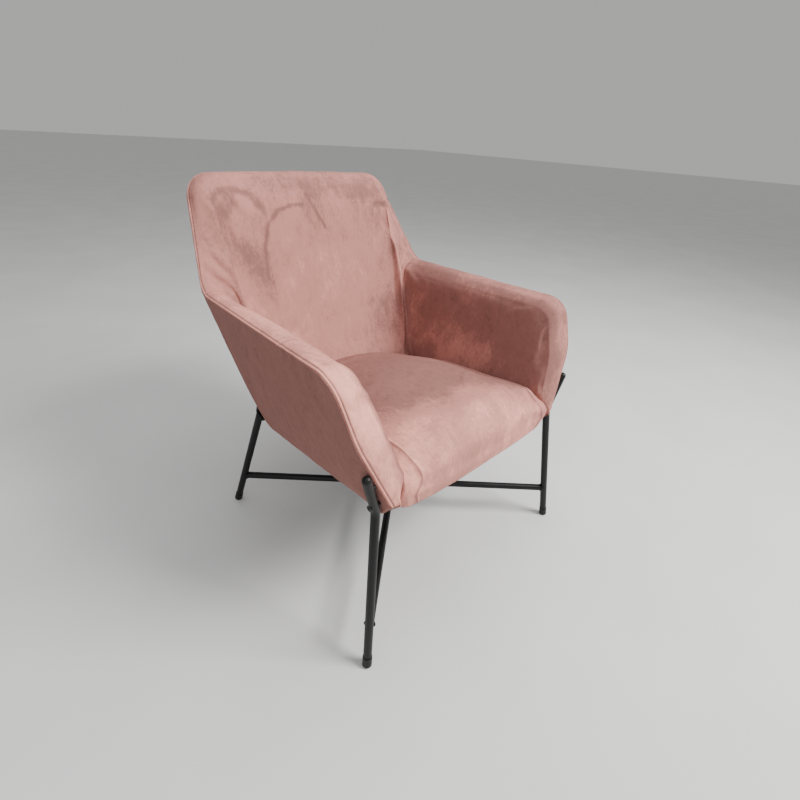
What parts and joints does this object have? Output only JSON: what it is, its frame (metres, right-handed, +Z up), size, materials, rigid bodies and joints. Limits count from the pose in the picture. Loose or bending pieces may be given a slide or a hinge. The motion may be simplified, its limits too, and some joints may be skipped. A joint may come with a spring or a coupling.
{
  "type": "upholstered armchair",
  "caption": "Low bucket armchair: a padded shell with sloping arms and a fitted seat, on splayed black tube legs joined by a crossed stretcher.",
  "frame": {"origin": "on the floor, under the middle of the whole chair", "axes": "+Z up, -Y towards the sitter's feet (the open front), +X to the right as seen from in front"},
  "size_m": [0.6192, 0.6867, 0.7625],
  "materials": {
    "velvet": "cut-pile velvet with a strong nap",
    "foam": "open-cell polyurethane foam",
    "wadding": "polyester wadding",
    "plywood": "raw moulded plywood",
    "frame_steel": "satin black powder coat",
    "bolt_steel": "black oxide",
    "black_plastic": "satin moulded plastic",
    "zinc_steel": "bright zinc plate",
    "dust_cloth": "spunbonded non-woven cloth"
  },
  "bodies": {
    "root": {"leg_front_left": "frame_steel", "leg_front_right": "frame_steel", "leg_rear_left": "frame_steel", "leg_rear_right": "frame_steel", "stretcher_through_bar": "frame_steel", "stretcher_half_bar_front": "frame_steel", "stretcher_half_bar_rear": "frame_steel", "weld_beads": "frame_steel", "foot_glide_front_left": "black_plastic", "foot_glide_front_right": "black_plastic", "foot_glide_rear_left": "black_plastic", "foot_glide_rear_right": "black_plastic", "tube_end_caps": "black_plastic", "rear_mount_plate_left": "frame_steel", "rear_mount_plate_right": "frame_steel", "leg_bolts": "bolt_steel", "bolt_spacers": "black_plastic", "tee_nuts": "zinc_steel", "seat_board": "plywood", "back_board": "plywood", "arm_board_left": "plywood", "arm_board_right": "plywood", "back_wadding": "wadding", "arm_wadding_left": "wadding", "arm_wadding_right": "wadding", "back_foam": "foam", "arm_foam_left": "foam", "arm_foam_right": "foam", "edge_roll_back": "foam", "edge_roll_left": "foam", "edge_roll_right": "foam", "outside_back_cover": "velvet", "outside_arm_cover_left": "velvet", "outside_arm_cover_right": "velvet", "inside_back_cover": "velvet", "inside_arm_cover_left": "velvet", "inside_arm_cover_right": "velvet", "seat_foam": "foam", "seat_cover": "velvet", "seat_end_panel_left": "velvet", "seat_end_panel_right": "velvet", "dust_cover": "dust_cloth", "staples": "zinc_steel", "board_screws": "zinc_steel"}
  },
  "joints": []
}
